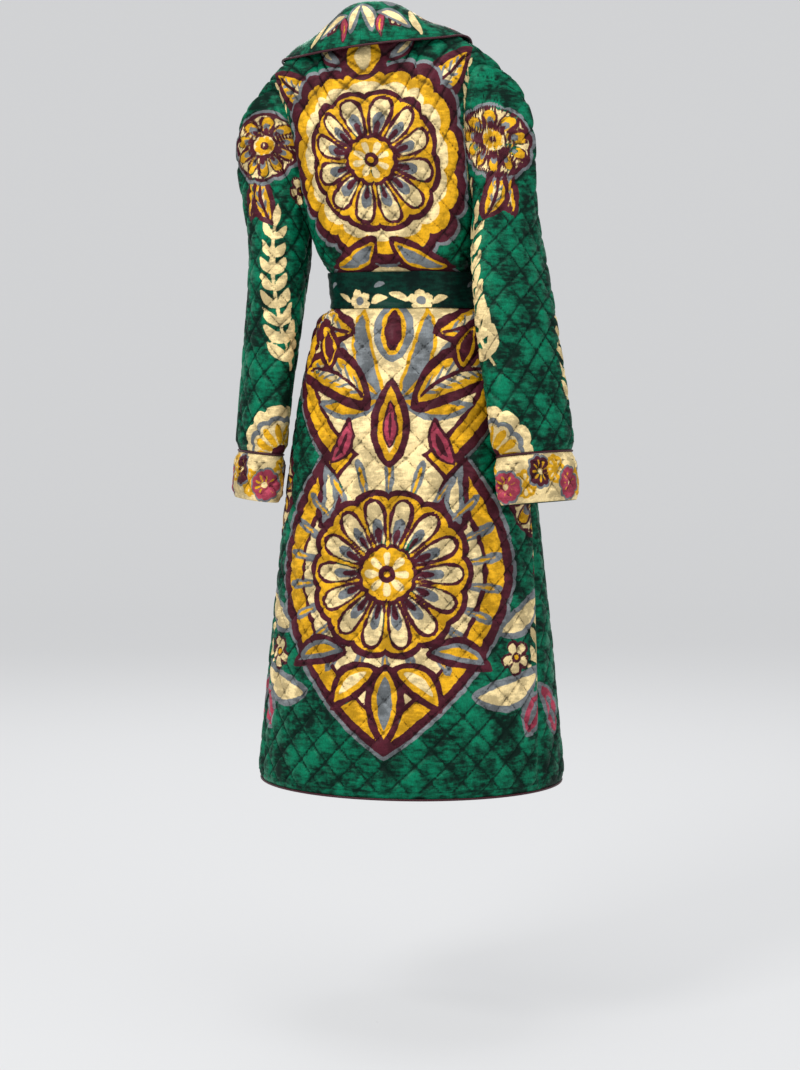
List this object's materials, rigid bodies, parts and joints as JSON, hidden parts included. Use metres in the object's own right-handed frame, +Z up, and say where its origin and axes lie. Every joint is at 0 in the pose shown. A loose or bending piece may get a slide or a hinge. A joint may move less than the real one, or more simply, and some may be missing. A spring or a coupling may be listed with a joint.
{
  "type": "velvet robe coat",
  "caption": "Long belted velvet robe coat with shawl collar, diamond quilting and printed flowers, in its hollow worn form.",
  "frame": {"origin": "middle of the neck at its base", "axes": "+Z up along the worn coat, -Y towards the coat's front, +X towards the wearer's left"},
  "size_m": [0.5577, 0.4192, 1.2031],
  "materials": {
    "velvet": "printed crushed velvet, diamond quilted",
    "belt_velvet": "smooth velvet",
    "piping": "satin cord"
  },
  "bodies": {
    "root": {"back": "velvet", "front_left": "velvet", "front_right": "velvet", "sleeve_left": "velvet", "sleeve_right": "velvet", "cuff_left": "velvet", "cuff_right": "velvet", "collar_left": "velvet", "collar_right": "velvet", "belt_wrap": "belt_velvet", "belt_knot": "belt_velvet", "belt_end_left": "belt_velvet", "belt_end_right": "belt_velvet", "collar_piping": "piping", "cuff_piping_left": "piping", "cuff_piping_right": "piping", "hem_piping": "piping"}
  },
  "joints": []
}
